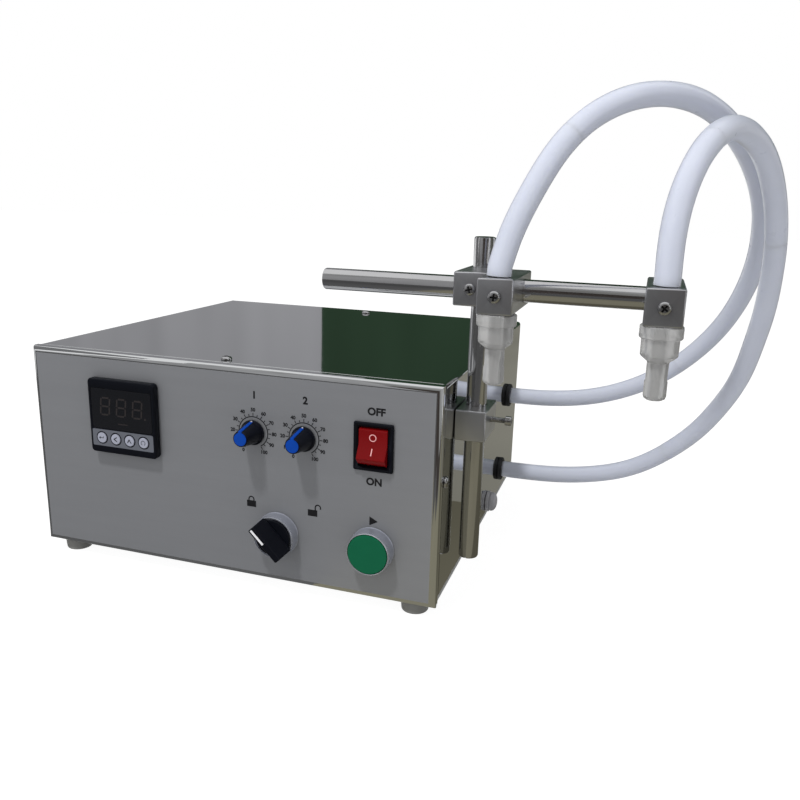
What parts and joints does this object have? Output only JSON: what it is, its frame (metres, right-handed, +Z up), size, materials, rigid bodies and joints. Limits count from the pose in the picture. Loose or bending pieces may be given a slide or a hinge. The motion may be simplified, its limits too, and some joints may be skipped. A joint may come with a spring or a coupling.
{
  "type": "liquid_filling_machine",
  "caption": "Bench-top liquid filler: sheet-metal box with a control panel, rod stand with clamp blocks, filling nozzles and milky hoses looping over the top",
  "frame": {"origin": "on the surface under the feet, at the middle of the box of the machine without its free hoses", "axes": "+X to the machine's right seen from its control panel, +Y from the control panel to the rear panel, +Z up"},
  "size_m": [0.47, 0.3046, 0.3145],
  "materials": {
    "plain_sheet": "plain galvanised sheet, dull",
    "panel_grey": "satin mid-grey, fine grain",
    "mirror_steel": "mirror-polished stainless sheet",
    "black_rubber": "matt moulded rubber",
    "bright_steel": "polished stainless, fine turning marks",
    "black_plastic": "fine-grained moulded plastic",
    "smoky_window": "glossy smoked window",
    "key_grey": "soft satin keys",
    "zinc": "zinc-plated, dull",
    "blue_plastic": "satin moulded plastic",
    "red_plastic": "glossy moulded plastic",
    "bezel_grey": "satin cast bezel",
    "green_plastic": "satin moulded plastic",
    "gland_grey": "satin moulded plastic",
    "milled_aluminium": "milled, bright chamfers",
    "milky_plastic": "translucent milky plastic",
    "milky_hose": "translucent milky silicone hose",
    "board_green": "green solder mask"
  },
  "bodies": {
    "housing": {"chassis_tray": "plain_sheet", "front_panel": "panel_grey", "top_cover": "mirror_steel", "foot_front_left": "black_rubber", "foot_front_right": "black_rubber", "foot_rear_left": "black_rubber", "foot_rear_right": "black_rubber", "cover_screw_top_front": "bright_steel", "cover_screw_top_rear": "bright_steel", "cover_screw_left": "bright_steel", "cover_screw_right": "bright_steel", "meter_housing": "black_plastic", "meter_window": "smoky_window", "meter_clamp": "black_plastic", "potentiometer_1": "zinc", "potentiometer_2": "zinc", "rocker_frame": "black_plastic", "selector_bezel": "bezel_grey", "selector_contact_block": "black_plastic", "start_bezel": "bezel_grey", "start_contact_block": "black_plastic", "grommet_upper": "black_rubber", "grommet_lower": "black_rubber", "side_gland": "gland_grey", "lower_clamp_block": "milled_aluminium", "lower_clamp_screw": "bright_steel", "pump_motor_1": "zinc", "pump_head_1": "milled_aluminium", "inner_hose_1": "milky_hose", "pump_motor_2": "zinc", "pump_head_2": "milled_aluminium", "inner_hose_2": "milky_hose", "power_supply": "plain_sheet", "control_board": "board_green", "mains_inlet": "black_plastic", "hose_1": "milky_hose", "hose_2": "milky_hose"},
    "meter_key_1": {"meter_key_1": "key_grey"},
    "meter_key_2": {"meter_key_2": "key_grey"},
    "meter_key_3": {"meter_key_3": "key_grey"},
    "meter_key_4": {"meter_key_4": "key_grey"},
    "knob_1": {"knob_1": "black_plastic", "knob_cap_1": "blue_plastic"},
    "knob_2": {"knob_2": "black_plastic", "knob_cap_2": "blue_plastic"},
    "rocker": {"rocker": "red_plastic"},
    "selector_lever": {"selector_lever": "black_plastic"},
    "start_button": {"start_button": "green_plastic"},
    "mast": {"mast": "bright_steel"},
    "head": {"cross_block": "milled_aluminium", "arm_screw": "bright_steel", "mast_screw": "bright_steel"},
    "arm": {"arm": "bright_steel"},
    "nozzle_unit_1": {"nozzle_block_1": "milled_aluminium", "nozzle_screw_1": "bright_steel", "nozzle_1": "milky_plastic"},
    "nozzle_unit_2": {"nozzle_block_2": "milled_aluminium", "nozzle_screw_2": "bright_steel", "nozzle_2": "milky_plastic"}
  },
  "joints": [
    {"name": "key_1_press", "type": "slide", "parent": "housing", "child": "meter_key_1", "axis": [0, 1, 0], "range_m": [0, 0.0006], "stiffness_N_per_m": 300},
    {"name": "key_2_press", "type": "slide", "parent": "housing", "child": "meter_key_2", "axis": [0, 1, 0], "range_m": [0, 0.0006], "stiffness_N_per_m": 300},
    {"name": "key_3_press", "type": "slide", "parent": "housing", "child": "meter_key_3", "axis": [0, 1, 0], "range_m": [0, 0.0006], "stiffness_N_per_m": 300},
    {"name": "key_4_press", "type": "slide", "parent": "housing", "child": "meter_key_4", "axis": [0, 1, 0], "range_m": [0, 0.0006], "stiffness_N_per_m": 300},
    {"name": "knob_1_turn", "type": "hinge", "parent": "housing", "child": "knob_1", "pos_m": [-0.03803, -0.1317, 0.1073], "axis": [0, 1, 0], "range_deg": [-150, 150]},
    {"name": "knob_2_turn", "type": "hinge", "parent": "housing", "child": "knob_2", "pos_m": [-0.00373, -0.1317, 0.1073], "axis": [0, 1, 0], "range_deg": [-150, 150]},
    {"name": "rocker_tilt", "type": "hinge", "parent": "housing", "child": "rocker", "pos_m": [0.04158, -0.1282, 0.1077], "axis": [1, 0, 0], "range_deg": [0, 30]},
    {"name": "selector_turn", "type": "hinge", "parent": "housing", "child": "selector_lever", "pos_m": [-0.02162, -0.1317, 0.0423], "axis": [0, 1, 0], "range_deg": [0, 90]},
    {"name": "start_press", "type": "slide", "parent": "housing", "child": "start_button", "axis": [0, 1, 0], "range_m": [0, 0.004], "stiffness_N_per_m": 500},
    {"name": "mast_height", "type": "slide", "parent": "housing", "child": "mast", "axis": [0, 0, 1], "range_m": [-0.02, 0.06], "deforming": ["hose_1", "hose_2"]},
    {"name": "head_swivel", "type": "hinge", "parent": "mast", "child": "head", "pos_m": [0.09208, -0.0857, 0.2028], "axis": [0, 0, 1], "range_deg": [-20, 60], "deforming": ["hose_1", "hose_2"]},
    {"name": "arm_slide", "type": "slide", "parent": "head", "child": "arm", "axis": [1, 0, 0], "range_m": [0, 0.07], "deforming": ["hose_1", "hose_2"]},
    {"name": "nozzle_1_slide", "type": "slide", "parent": "arm", "child": "nozzle_unit_1", "axis": [1, 0, 0], "range_m": [0, 0.03], "deforming": ["hose_1"]},
    {"name": "nozzle_2_slide", "type": "slide", "parent": "arm", "child": "nozzle_unit_2", "axis": [1, 0, 0], "range_m": [-0.03, 0], "deforming": ["hose_2"]}
  ]
}
